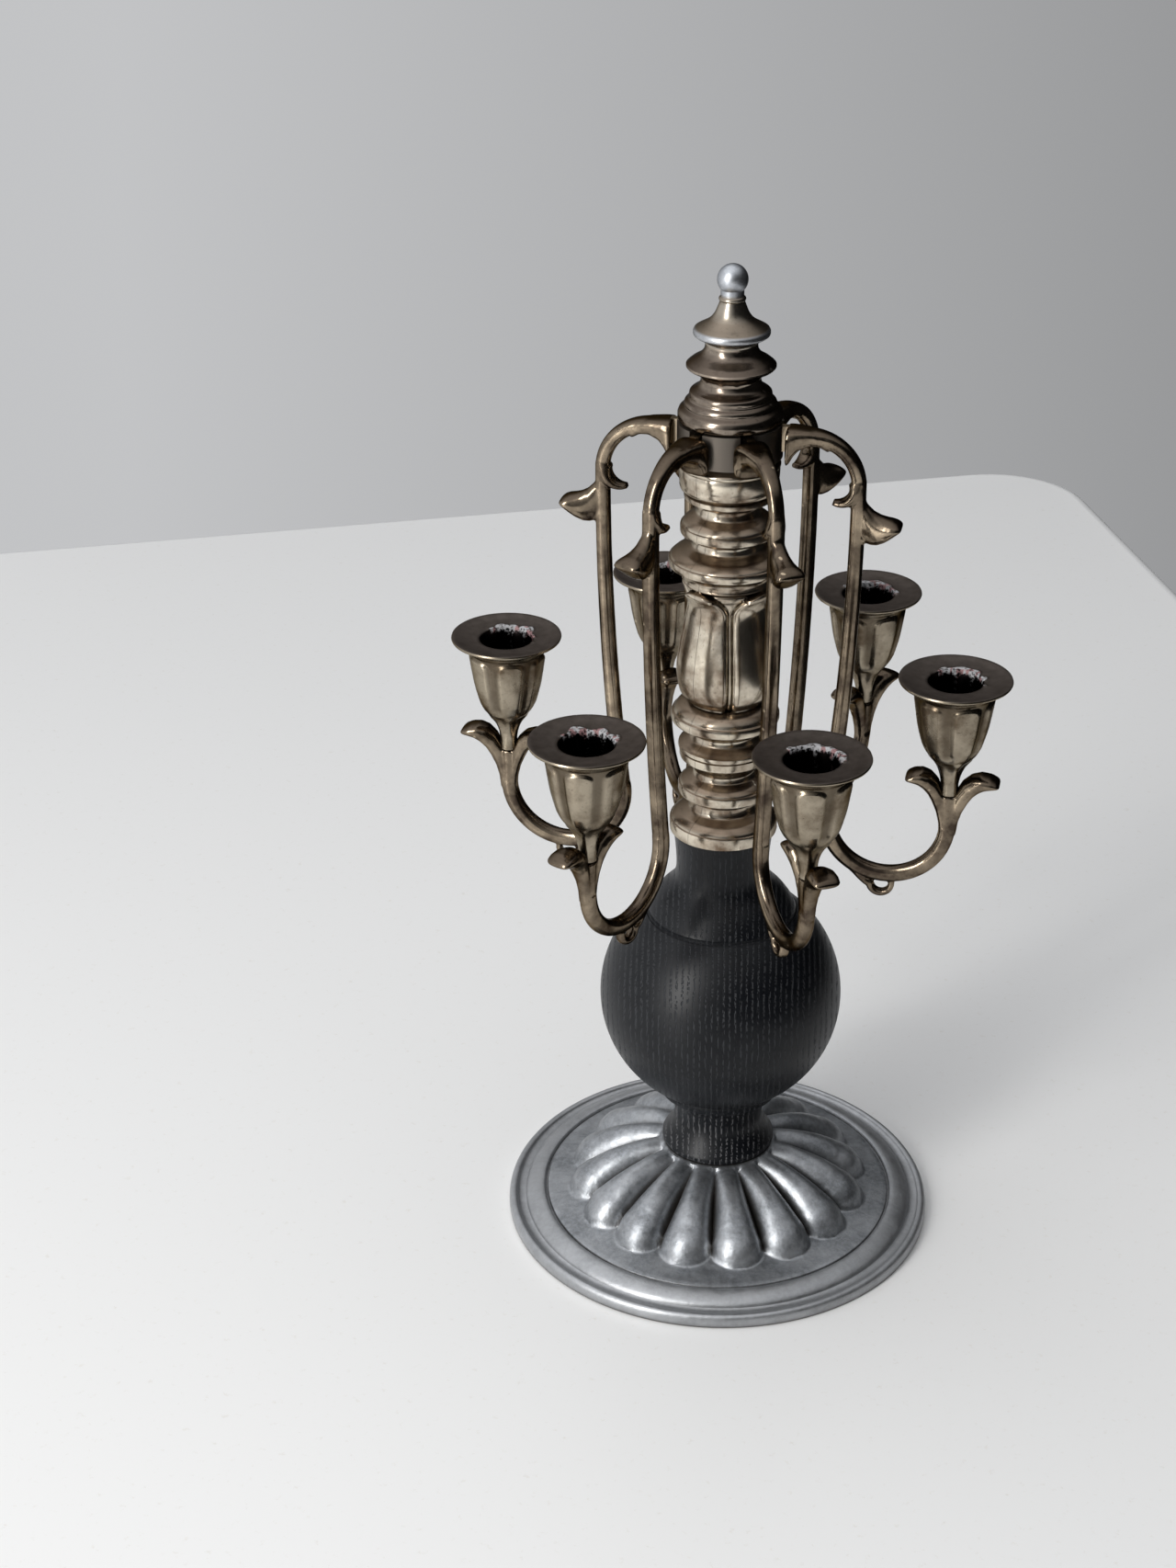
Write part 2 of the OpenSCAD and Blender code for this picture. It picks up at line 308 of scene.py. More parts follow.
top_line = [(rod_hole_r, seat_z), (13.8, seat_z), (seat_r, seat_z - 0.15)]
lobe_rings = 72
lobes_out_r, blank_z = 43.2, 10
lobe_line = [(seat_r + (lobes_out_r - seat_r) * (i + 1) / lobe_rings, blank_z) for i in range(lobe_rings)]
brim_line = [(43.9, 4.85), (44.15, 4.4), (44.4, 4.4), (44.65, 4.95)]
brim_line += smooth_line([(44.9, 5.15), (45.7, 5.2), (46.8, 4.95), (48, 4.45), (49, 3.85), (49.5, 3.35)], 3)
brim_line += smooth_line([(49.7, 2.85), (50.3, 2.6), (51.2, 2.6), (51.8, 2.85), (52.1, 3.2), (52.6, 3.38),
                          (53.2, 3.3), (53.75, 2.8), (base_r, 1.9), (base_r, 0.5), (53.7, 0)], 3)
under_line = [(48, 0), (48, 0.9), (31, 5.2), (16, 13.6), (12.6, 15), (rod_hole_r, 15)]
base = lathe(top_line + lobe_line + brim_line + under_line, 448)
for vert in base.verts:
    r = math.hypot(vert.co.x, vert.co.y) / mm
    if abs(vert.co.z - blank_z * mm) < 1e-6:
        vert.co.z = lobed_height(r, math.atan2(vert.co.y, vert.co.x)) * mm
lobe_verts = [v for v in base.verts
              if seat_r + 0.3 < math.hypot(v.co.x, v.co.y) / mm < 42 and v.normal.z > -0.2]
bmesh.ops.smooth_vert(base, verts=lobe_verts, factor=0.5, use_axis_x=True, use_axis_y=True, use_axis_z=True)


def crevice(material, reach, low, high):
    """1 in creases that are narrower than reach, 0 on open faces, by ambient occlusion; a colour darkened by
    it is painted shade.
    """
    inputs = {"Distance": reach}
    open_share = put(material, "AmbientOcclusion", inputs, samples=8).outputs["AO"]
    return between(material, open_share, low, high, 1.0, 0.0)


def worn_edge(material, low, high):
    """1 where the face bends outward past high, 0 where it bends less than low; 0.5 is flat."""
    bend = put(material, "NewGeometry", {}).outputs["Pointiness"]
    return between(material, bend, low, high)


zinc = start_material("zinc_skin", (0.30, 0.32, 0.345), 0.85, 0.4)
zinc_patch = between(zinc, speckle(zinc, 110, 6, 0.62), 0.36, 0.66)
zinc_colour = mix_colours(zinc, zinc_patch, (0.20, 0.21, 0.222, 1), (0.36, 0.37, 0.385, 1))
zinc_fine = between(zinc, speckle(zinc, 900, 4, 0.7), 0.40, 0.66)
zinc_colour = mix_colours(zinc, between(zinc, zinc_fine, 0.0, 1.0, 0.0, 0.35), zinc_colour,
                          (0.50, 0.53, 0.57, 1))
zinc_level = put(zinc, "VectorMath", {0: object_place(zinc), 1: (1, 1, 0)}, operation="MULTIPLY").outputs[0]
zinc_radius = put(zinc, "VectorMath", {0: zinc_level}, operation="LENGTH").outputs["Value"]
# The brim is painted lighter here: a painted reflection.
brim_painted_sheen = between(zinc, zinc_radius, 0.0440, 0.0455, 0.0, 0.5)
zinc_colour = mix_colours(zinc, brim_painted_sheen, zinc_colour, (0.44, 0.445, 0.455, 1))
# The creases go brown by an occlusion measure: dirt, and painted shade where the lobes crowd together.
zinc_grime_and_shade = crevice(zinc, 0.0035, 0.30, 0.70)
zinc_colour = mix_colours(zinc, zinc_grime_and_shade, zinc_colour, (0.085, 0.078, 0.070, 1))
feed(zinc, "Base Color", zinc_colour)
feed(zinc, "Roughness", between(zinc, speckle(zinc, 300, 5, 0.65), 0.3, 0.75, 0.30, 0.52))
add_bump(zinc, speckle(zinc, 700, 6, 0.7), 0.35, 0.00025)

base_piece = show("base_casting", finish_mesh(base, "base_casting"), zinc)
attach(base_piece, "stand")
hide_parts("base_plate")

# ---------------------------------------------------------------- wooden stem
# Open-grained oak or ash, turned in one piece with a foot, a waist, a ball and
# a shouldered neck, then stained black. The pores stay paler in upright rows,
# palest on the foot.

stem_low, stem_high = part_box("wood_stem")
ball_r, ball_z = 30.0, 63.5
lip_r, shoulder_r = 15.0, 18.7
stem_bottom, stem_top = stem_low.z / mm, stem_high.z / mm


def ball_line(first_r, last_r, steps):
    """The ball's outline from a radius on its underside to one on its top."""
    a0, a1 = -math.acos(first_r / ball_r), math.acos(last_r / ball_r)
    turns = [a0 + (a1 - a0) * i / steps for i in range(steps + 1)]
    return [(ball_r * math.cos(a), ball_z + ball_r * math.sin(a)) for a in turns]


stem_line = [(rod_hole_r, stem_bottom), (13.5, stem_bottom), (14.0, 19.9), (14.2, 20.6)]
stem_line += smooth_line([(14.15, 21.2), (13.4, 22.4), (12.2, 24.3), (11.3, 26.4), (11.1, 28.2), (11.4, 30.4),
                          (12.0, 32.6), (12.9, 34.4), (14.2, 35.2), (14.8, 35.4)], 4)
stem_line += [(15.15, 35.6), (15.35, 35.9), (15.75, 37.6), (15.75, 37.9), (15.6, 38.1)]
stem_line += ball_line(lip_r + 1.5, shoulder_r, 64)
stem_line += [(18.4, 86.9), (18.05, 87.1), (17.95, 87.6), (18.1, 88.0)]
stem_line += smooth_line([(17.9, 88.5), (17.0, 90.0), (15.4, 92.2), (13.4, 94.3), (12.0, 96.2), (11.4, 98.2),
                          (11.25, 100.2), (11.35, 103), (11.6, 106), (11.9, 108.5)], 4)
stem_line += [(12.05, 109.5), (11.9, stem_top), (rod_hole_r, stem_top)]
stem = lathe(stem_line, 256)

ebony = start_material("ebonised_wood", (0.007, 0.008, 0.010), 0.0, 0.44)
ebony.node_tree.nodes["Principled BSDF"].inputs["Specular IOR Level"].default_value = 0.25
log_place = put(ebony, "Mapping", {"Vector": object_place(ebony), "Location": (0.0, -0.26, 0.0),
                                   "Rotation": (0, 0, math.radians(-9.8))}).outputs["Vector"]
log_split = put(ebony, "SeparateXYZ", {0: log_place})
wander = between(ebony, speckle(ebony, 28, 2, 0.5), 0.0, 1.0, -0.0011, 0.0011)
across_rings = put(ebony, "Math", {0: log_split.outputs["X"], 1: wander}, operation="ADD").outputs[0]
ring_spacing = 0.0014
ring_number = put(ebony, "Math", {0: across_rings, 1: 1 / ring_spacing}, operation="MULTIPLY").outputs[0]
ring_share = put(ebony, "Math", {0: ring_number}, operation="FRACT").outputs[0]
ring_side = put(ebony, "Math", {0: ring_share, 1: 0.5}, operation="SUBTRACT").outputs[0]
off_early_wood = put(ebony, "Math", {0: ring_side}, operation="ABSOLUTE").outputs[0]
early_wood = between(ebony, off_early_wood, 0.10, 0.22, 1.0, 0.0)
pore_stretch = put(ebony, "Mapping", {"Vector": log_place, "Scale": (4.4, 4.4, 0.65)}).outputs["Vector"]
pore_cells = put(ebony, "TexVoronoi", {"Vector": pore_stretch, "Scale": 700.0, "Randomness": 1.0})
pore = between(ebony, pore_cells.outputs["Distance"], 0.40, 0.54, 1.0, 0.0)
pore_rows = put(ebony, "Math", {0: pore, 1: early_wood}, operation="MULTIPLY").outputs[0]
worn_black = mix_colours(ebony, between(ebony, speckle(ebony, 240, 5, 0.6), 0.35, 0.75),
                         (0.002, 0.0025, 0.004, 1), (0.005, 0.006, 0.0075, 1))
stem_height = put(ebony, "SeparateXYZ", {0: object_place(ebony)}).outputs["Z"]
pore_colour = mix_colours(ebony, between(ebony, stem_height, 0.033, 0.037), (0.11, 0.11, 0.115, 1),
                          (0.034, 0.036, 0.040, 1))
feed(ebony, "Base Color", mix_colours(ebony, between(ebony, pore_rows, 0.0, 1.0, 0.0, 0.85), worn_black,
                                      pore_colour))
feed(ebony, "Roughness", between(ebony, pore_rows, 0.0, 1.0, 0.38, 0.8))
add_bump(ebony, between(ebony, pore_rows, 0.0, 1.0, 1.0, 0.0), 0.5, 0.0002)

stem_piece = show("stem_turning", finish_mesh(stem, "stem_turning"), ebony)
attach(stem_piece, "stand")
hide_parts("wood_stem")

# ---------------------------------------------------------------- tie rod, nut and washer
# A long steel rod holds the stack together, with a washer and a hexagon nut
# inside the hollow of the base.

steel = start_material("plain_steel", (0.52, 0.52, 0.51), 1.0, 0.35)
steel_rust = between(steel, speckle(steel, 500, 5, 0.7), 0.52, 0.66)
feed(steel, "Base Color", mix_colours(steel, steel_rust, (0.52, 0.52, 0.51, 1), (0.24, 0.15, 0.09, 1)))
feed(steel, "Roughness", between(steel, steel_rust, 0.0, 1.0, 0.3, 0.7))
for name in ("tie_rod", "rod_nut", "rod_washer"):
    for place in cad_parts[name].material_slots:
        place.material = steel

# ---------------------------------------------------------------- column halves
# The column is cast in two half shells that meet in an upright seam, plated in
# silver and antiqued. Skirted rings stand above and below a tulip of four
# petals. The halves' edges are eased, so the seam shows as a fine line.

half_low, half_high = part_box("column_left_half")
column_bottom, column_top = half_low.z / mm, half_high.z / mm
seam_azimuth = math.radians(60)
seam_ease = 0.05


def skirt(rim_r, low, high, waist_r, waist_z):
    """A rim and the shoulder over it, up to the waist above."""
    deep, tall = rim_r - waist_r, waist_z - high
    rim = [(rim_r - 0.35, low), (rim_r - 0.08, low + 0.12), (rim_r, low + 0.4),
           (rim_r, high - 0.45), (rim_r - 0.1, high - 0.12), (rim_r - 0.38, high)]
    shoulder = smooth_line([(rim_r - 0.42, high + 0.02), (rim_r - 0.08 * deep - 0.45, high + 0.16 * tall),
                            (rim_r - 0.36 * deep - 0.3, high + 0.38 * tall),
                            (rim_r - 0.68 * deep, high + 0.52 * tall),
                            (rim_r - 0.92 * deep, high + 0.70 * tall), (waist_r, waist_z)], 4)
    return rim + shoulder


def undercut(waist_r, waist_z, rim_r, low):
    """The hollow from a waist up to the rim over it."""
    deep, tall = rim_r - 0.5 - waist_r, low - waist_z
    return smooth_line([(waist_r + 0.02, waist_z + 0.25 * tall),
                        (waist_r + 0.15 * deep, waist_z + 0.62 * tall),
                        (waist_r + 0.5 * deep, waist_z + 0.88 * tall), (rim_r - 0.45, low)], 3)


lower_rings = [  # rim radius, rim's foot, rim's top, waist radius and height above it
    (13.0, 109.95, 113.1, 8.0, 117.6),
    (11.0, 120.3, 122.7, 7.2, 126.0)]
upper_rings = [
    (13.7, 179.0, 180.9, 8.0, 184.8),
    (11.1, 186.9, 189.0, 7.2, 193.0)]

column_line = [(rod_hole_r, column_bottom), (12.4, column_bottom)]
column_line += skirt(*lower_rings[0])
column_line += undercut(8.0, 117.6, 11.0, 120.3) + skirt(*lower_rings[1])
column_line += smooth_line([(7.3, 126.6), (8.0, 127.6), (9.2, 128.6), (10.1, 129.4)], 3)
column_line += [(10.6, 129.7), (10.75, 130.2), (10.8, 131.6), (10.55, 131.8), (10.6, 132.0), (11.0, 132.2),
                (11.1, 132.6), (11.0, 133.1), (10.7, 133.3)]
column_line += smooth_line([(10.5, 133.4), (9.7, 134.0), (8.5, 134.8), (8.0, 135.8), (8.2, 136.8),
                            (9.4, 138.0), (11.6, 139.0), (12.4, 139.35)], 4)
column_line += [(12.7, 139.5), (12.85, 139.9), (12.85, 141.0), (12.65, 141.5), (12.3, 141.7)]
column_line += smooth_line([(12.2, 141.8), (11.8, 142.6), (10.8, 143.6), (9.6, 144.3), (8.9, 144.6)], 4)
tulip_line = smooth_line([(8.9, 144.9), (9.9, 145.6), (11.1, 147.6), (11.7, 150.6), (11.65, 154), (11.1, 158),
                          (10.4, 162), (9.65, 166), (9.3, 168.6), (9.55, 170.3), (10.3, 171.7),
                          (11.1, 172.7)], 6)
tulip_line += smooth_line([(11.5, 173.3), (11.65, 173.8), (11.45, 174.3), (10.9, 174.6), (10.3, 175.0)], 4)
core_line = smooth_line([(10.15, 175.4), (10.1, 176.4), (10.6, 177.4), (11.9, 178.3), (13.0, 178.85)], 4)
column_line += tulip_line
column_line += core_line + skirt(*upper_rings[0])
column_line += undercut(8.0, 184.8, 11.1, 186.9) + skirt(*upper_rings[1])
column_line += undercut(7.2, 193.0, 10.2, 195.2)
column_line += [(10.2, 195.4), (10.3, 195.9), (10.2, 196.5), (9.9, 196.7)]
column_line += [(10.4, 197.2), (11.2, 197.9), (11.35, 198.6), (11.25, 199.0), (11.4, 199.4), (11.55, 202.6)]
column_line += [(11.4, 202.9), (11.65, 203.2), (11.7, 203.6), (11.5, 203.95), (11.0, 204.2)]
column_line += [(10.2, column_top)]
column_line += [(rod_hole_r, column_top), (rod_hole_r, 201.5), (4.6, 201.5), (4.6, 114), (rod_hole_r, 114)]

petal_middles = [math.radians(a) for a in (60, 150, 240, 330)]
tulip_low, tulip_high = 144.7, 174.9
core_r = 7.4
gap_rib, gap_rib_high = 0.55, 0.5
gap_roll = 1.7
gap_depth, tip_gap_depth = 1.25, 1.6
tip_from, tip_to = 169.0, 174.6
tip_taper = 6.0


def petal_depth(azimuth, r, z):
    """How far the tulip's face lies under a petal's crown here, in mm."""
    off = min(abs((azimuth - m + math.pi) % (2 * math.pi) - math.pi) for m in petal_middles)
    tip = min(max((z - tip_from) / (tip_to - tip_from), 0.0), 1.0)
    from_gap = (math.pi / 4 - off) * r - tip_taper * tip ** 2
    if from_gap < gap_rib:
        return gap_depth - gap_rib_high * (1 - (max(from_gap, 0.0) / gap_rib) ** 2) + tip_gap_depth * tip
    x = min((from_gap - gap_rib) / gap_roll, 1.0)
    return (gap_depth + tip_gap_depth * tip) * (1 - math.sqrt(1 - (1 - x) ** 2))


def make_half(start):
    """Half the column from this azimuth on, with its petals, its seam faces eased back."""
    half = lathe(column_line, 200, turn=math.pi, start=start)
    for vert in half.verts:
        r, z = math.hypot(vert.co.x, vert.co.y) / mm, vert.co.z / mm
        if tulip_low < z < tulip_high and r > 7:
            azimuth = math.atan2(vert.co.y, vert.co.x)
            inset = min(petal_depth(azimuth, r, z), r - core_r)
            vert.co.x *= (r - inset) / r
            vert.co.y *= (r - inset) / r
    middle = Vector((math.cos(start + math.pi / 2), math.sin(start + math.pi / 2), 0))
    for vert in half.verts:
        aside = vert.co.dot(middle) / mm
        if aside < 0.02:
            vert.co += middle * (seam_ease * mm)
    return half


def antique_silver(name, bright, tarnish, crease_grime_and_shade, cover, gloss, rub=0.535):
    """Silver plate gone brown: bright on upright faces and rubbed edges, tarnished where dust
    lies, and darkened in creases with dirt and painted shade. Rub is how sharply an edge
    has to bend to be rubbed bright."""
    silver = start_material(name, bright, 1.0, gloss)
    edge_tint = (*[0.25 + 0.3 * c for c in bright], 1)
    silver.node_tree.nodes["Principled BSDF"].inputs["Specular Tint"].default_value = edge_tint
    patch = between(silver, speckle(silver, 130, 5, 0.6), 0.60 - cover * 0.3, 0.85 - cover * 0.25)
    facing = put(silver, "NewGeometry", {}).outputs["Normal"]
    lying = between(silver, put(silver, "SeparateXYZ", {0: facing}).outputs["Z"], 0.2, 0.75, 0.0, 0.85)
    dusty = put(silver, "Math", {0: patch, 1: lying}, operation="MAXIMUM").outputs[0]
    colour = mix_colours(silver, dusty, (*bright, 1), (*tarnish, 1))
    fleck = between(silver, speckle(silver, 1500, 3, 0.6), 0.60, 0.72, 0.0, 0.5)
    colour = mix_colours(silver, fleck, colour, (*[0.5 * c for c in tarnish], 1))
    # Creases found by occlusion take the crease colour: dirt, and painted shade.
    crease = between(silver, crevice(silver, 0.0025, 0.2, 0.7), 0.0, 1.0, 0.0, 0.8)
    colour = mix_colours(silver, crease, colour, (*crease_grime_and_shade, 1))
    edge = worn_edge(silver, rub, rub + 0.05)
    pale = tuple(min(0.9, 1.3 * c) for c in bright)
    colour = mix_colours(silver, edge, colour, (*pale, 1))
    feed(silver, "Base Color", colour)
    dull = put(silver, "Math", {0: dusty, 1: crease}, operation="MAXIMUM").outputs[0]
    feed(silver, "Roughness", between(silver, dull, 0.0, 1.0, gloss, gloss + 0.08))
    add_bump(silver, speckle(silver, 260, 4, 0.5), 0.12, 0.0003)
    return silver


column_silver = antique_silver("column_silver", (0.70, 0.63, 0.515), (0.165, 0.112, 0.074),
                               (0.022, 0.017, 0.013), 0.7, 0.19, 0.56)
for name, start in (("column_left_half", seam_azimuth), ("column_right_half", seam_azimuth + math.pi)):
    shell = show(name + "_cast", finish_mesh(make_half(start), name), column_silver)
    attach(shell, "stand")
    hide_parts(name)

# ---------------------------------------------------------------- hub
# A short drum with six keyholes, open at the top, that the arms drop into. It
# keeps its plain shape and gets the darkest and dullest of the silvers.

hub_silver = antique_silver("hub_silver", (0.12, 0.105, 0.09), (0.055, 0.045, 0.037),
                            (0.02, 0.016, 0.013), 0.7, 0.36)
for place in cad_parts["arm_hub"].material_slots:
    place.material = hub_silver

# ---------------------------------------------------------------- arms
# Six cast arms. Each is a rounded bar that arches out from the hub, runs down
# and turns up in a hook under its cup. Leaves curl off the arch and below the
# cup, and a tendril hangs under the hook. A bead on a tab sits in a keyhole.

arm_count = 6
arm_step = math.radians(60)
arm_lean = [math.radians(a) for a in (0, -0.7, -3.9, -2.6, 6.3, 0.7)]
bead_orbit_r = 8.0
bar_half = 1.7


def loft(shape, sections, power=3.2, sides=24):
    """A closed solid through sections of (upper point, lower point, half width), in mm. A power
    of 2 gives round sections and a larger one squarer."""
    edge_loop = None
    for (ur, uz), (lr, lz), wide in sections:
        middle = Vector(((ur + lr) / 2, 0, (uz + lz) / 2)) * mm
        rise = Vector(((ur - lr) / 2, 0, (uz - lz) / 2)) * mm
        ring = []
        for k in range(sides):
            a = 2 * math.pi * (k + 0.5) / sides
            c, s = math.cos(a), math.sin(a)
            up = math.copysign(abs(s) ** (2 / power), s)
            side = math.copysign(abs(c) ** (2 / power), c)
            ring.append(middle + rise * up + Vector((0, wide * mm * side, 0)))
        if edge_loop is None:
            verts = [shape.verts.new(p) for p in ring]
            edge_loop = [shape.edges.new((a, b)) for a, b in zip(verts, verts[1:] + verts[:1])]
            made = list(edge_loop)
            bmesh.ops.contextual_create(shape, geom=edge_loop)
        else:
            grown = bmesh.ops.extrude_edge_only(shape, edges=edge_loop)
            new_verts = [part for part in grown["geom"] if isinstance(part, bmesh.types.BMVert)]
            edge_loop = [part for part in grown["geom"] if isinstance(part, bmesh.types.BMEdge)
                         and all(v in new_verts for v in part.verts)]
            follow = {}
            for vert in new_verts:
                old = [e.other_vert(vert) for e in vert.link_edges if e.other_vert(vert) not in new_verts]
                follow[vert] = order[old[0]]
            for vert, k in follow.items():
                vert.co = ring[k]
            verts = sorted(follow, key=follow.get)
        order = {vert: k for k, vert in enumerate(verts)}
    bmesh.ops.contextual_create(shape, geom=edge_loop)


def arc_points(cr, cz, r, a0, a1, steps):
    """Points on an arc in the arm's own plane, with the way that they face outward."""
    turns = [math.radians(a0 + (a1 - a0) * i / steps) for i in range(steps + 1)]
    return [((cr + r * math.cos(a), cz + r * math.sin(a)), (math.cos(a), math.sin(a))) for a in turns]


def band(points, thick, wide):
    """Sections along points, thick and wide being functions of the way along from 0 to 1."""
    sections = []
    for i, ((r, z), (nr, nz)) in enumerate(points):
        t = i / (len(points) - 1)
        h = thick(t)
        sections.append(((r + nr * h, z + nz * h), (r - nr * h, z - nz * h), wide(t)))
    return sections


hook_r, hook_z = 14.4, 116.0
cup_orbit_r = 53.8
arch_r, arch_centre = 11.3, (18.3, 199.7)
bar_curve_r, bar_top = 680.0, (29.6, 196.0)
bar_drop = bar_top[1] - hook_z - hook_r * math.sin(math.radians(6.6))
bar_fall = math.degrees(math.asin(bar_drop / bar_curve_r))

arm_shape = bmesh.new()
arch = arc_points(*arch_centre, arch_r, 97, -2, 22)
loft(arm_shape, band(arch, lambda t: bar_half + 0.12 * (1 - t),
                     lambda t: bar_half + 1.5 * (1 - t) ** 3), 2.7)
bar = arc_points(bar_top[0] - bar_curve_r, bar_top[1], bar_curve_r, 0.42, -bar_fall - 0.05, 17)
loft(arm_shape, band(bar, lambda t: bar_half + 0.2 * t, lambda t: bar_half + 0.1), 2.8)
hook = arc_points(cup_orbit_r - hook_r, hook_z, hook_r, 180 - bar_fall - 3, 358, 40)
loft(arm_shape, band([(p, (-n[0], -n[1])) for p, n in hook], lambda t: bar_half + 0.45 - 0.15 * t,
                     lambda t: bar_half + 0.15), 2.4)
loft(arm_shape, [((51.9, 114.5), (55.7, 114.5), 1.7), ((51.9, 119), (55.7, 119), 1.75),
                 ((51.8, 122.5), (55.8, 122.5), 1.9), ((51.8, 124.4), (55.8, 124.4), 2.0)], 2.3)

# the root flares to a flat face against the hub and hollows out beneath
loft(arm_shape, [((13.0, 213.0), (13.0, 204.1), 4.2), ((13.7, 213.1), (13.7, 204.6), 4.15),
                 ((14.8, 213.1), (14.6, 206.4), 3.9), ((16.2, 213.0), (15.9, 208.0), 3.5),
                 ((18.4, 212.8), (18.3, 209.1), 3.0), ((21.0, 212.2), (20.6, 208.9), 2.5),
                 ((23.6, 210.7), (22.4, 207.8), 2.1)], 3.6)
# outer leaf of the arch, with a curled lip
loft(arm_shape, [((30.4, 198.6), (30.2, 184.5), 1.6), ((31.6, 195.9), (31.5, 186.6), 2.1),
                 ((33.2, 194.3), (32.6, 186.2), 2.5), ((34.8, 193.4), (34.2, 186.3), 2.9),
                 ((36.4, 192.9), (35.9, 187.1), 3.25), ((37.7, 192.6), (37.2, 188.1), 3.45),
                 ((38.8, 192.1), (38.3, 189.1), 3.4), ((39.5, 191.5), (39.2, 189.9), 3.0),
                 ((39.8, 190.9), (39.7, 190.5), 2.2)], 2.3)
# inner leaf of the arch
loft(arm_shape, band(arc_points(25, 199.9, 4.3, 12, -106, 12), lambda t: 2.1 - 1.5 * t,
                     lambda t: 1.8 + 0.7 * math.sin(math.pi * t) - 0.4 * t), 2.4)
# tendril under the hook
loft(arm_shape, [((30.9, 104.5), (30.4, 102.3), 1.4), ((32.6, 102.8), (31.7, 101.2), 1.5),
                 ((34.2, 101.4), (33.2, 99.6), 1.5), ((35.9, 99.9), (34.9, 98.1), 1.45)], 2.4)
loft(arm_shape, band(arc_points(38.7, 98.9, 2.6, 168, 392, 18), lambda t: 1.0 - 0.25 * t,
                     lambda t: 1.45 - 0.3 * t), 2.4)
# the two leaves below the cup, the outer one a little longer; each row holds the
# reach and height of the leaf's inner side, then of its outer side, and its half width
cup_leaf = [(0.0, 115.0, 1.9, 114.0, 1.5), (0.2, 118.6, 2.2, 117.2, 1.6), (0.6, 122.0, 2.9, 120.0, 1.8),
            (1.2, 125.2, 4.0, 122.6, 2.1), (2.6, 128.2, 5.0, 124.5, 2.6), (4.4, 130.0, 6.2, 125.9, 3.0),
            (6.4, 130.6, 7.4, 126.8, 3.25), (8.4, 130.2, 8.7, 127.3, 3.3), (9.8, 129.4, 9.9, 127.6, 3.0),
            (10.4, 128.7, 10.4, 127.9, 2.2)]
for way, longer in ((-1, 0), (1, 1.2)):
    loft(arm_shape, [((cup_orbit_r + way * (a + longer * a / 9), za),
                      (cup_orbit_r + way * (b + longer * b / 9), zb), wide)
                     for a, za, b, zb, wide in cup_leaf], 2.3)
bmesh.ops.recalc_face_normals(arm_shape, faces=arm_shape.faces[:])

arm_data = finish_mesh(arm_shape, "arm_union")
arm_object = bpy.data.objects.new("arm_union", arm_data)
bpy.context.collection.objects.link(arm_object)
fuse = arm_object.modifiers.new("fuse", "REMESH")
fuse.mode = "VOXEL"
fuse.voxel_size = 0.00030
fuse.use_smooth_shade = True
fused_data = bpy.data.meshes.new_from_object(arm_object.evaluated_get(bpy.context.evaluated_depsgraph_get()))
bpy.data.objects.remove(arm_object)
fused = bmesh.new()
fused.from_mesh(fused_data)
smoothings = 3
for _ in range(smoothings):
    bmesh.ops.smooth_vert(fused, verts=fused.verts[:], factor=0.5,
                          use_axis_x=True, use_axis_y=True, use_axis_z=True)
bead_r = 1.6
tab_long, tab_half, tab_low, tab_top = 5.6, 0.95, 207.25, 213.15
bead = bmesh.ops.create_cone(fused, cap_ends=True, segments=40, radius1=bead_r * mm, radius2=bead_r * mm,
                             depth=(tab_top - tab_low) * mm)["verts"]
bmesh.ops.translate(fused, verts=bead, vec=(bead_orbit_r * mm, 0, (tab_low + tab_top) / 2 * mm))
tab = bmesh.ops.create_cube(fused, size=mm)["verts"]
bmesh.ops.scale(fused, verts=tab, vec=(tab_long, 2 * tab_half, tab_top - tab_low))
bmesh.ops.translate(fused, verts=tab, vec=((bead_orbit_r + tab_long / 2) * mm, 0,
                                           (tab_low + tab_top) / 2 * mm))
fused_data = finish_mesh(fused, "arm_cast")


def arm_place(i):
    """The turn that takes arm 1's place to that of the arm after i steps, with its own lean."""
    pivot = Matrix.Translation((bead_orbit_r * mm, 0, 0))
    return (Matrix.Rotation(arm_step * i, 4, "Z") @ pivot
            @ Matrix.Rotation(arm_lean[i], 4, "Z") @ pivot.inverted())


arm_silver = antique_silver("arm_silver", (0.31, 0.25, 0.18), (0.065, 0.048, 0.036),
                            (0.012, 0.010, 0.008), 0.85, 0.15, 0.56)
for i in range(arm_count):
    arm_mesh = fused_data.copy()
    arm_mesh.transform(arm_place(i))
    arm_piece = show(f"arm_cast_{i + 1}", arm_mesh, arm_silver)
    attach(arm_piece, f"arm_{i + 1}")
    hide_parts(f"arm_{i + 1}")

# ---------------------------------------------------------------- candle cups
# Six cast cups pinned to the arms: a thin drip flange, a tapered body with six
# raised panels and a fluted neck. Old wax clings to the mouths.

cup_turn = [math.radians(a) for a in (-4, 12, 20, -8, 24, -23)]
candle_r, socket_floor, socket_top = 6.3, 138.9, 153.5
lip_low = 153.4
panel_count = 6
panel_low, panel_high, panel_end = 135.0, 150.8, 152.6
panel_depth = 0.7
panel_from_r, wax_to_r = 5.1, 9.5
flute_low, flute_depth = 127.5, 0.07


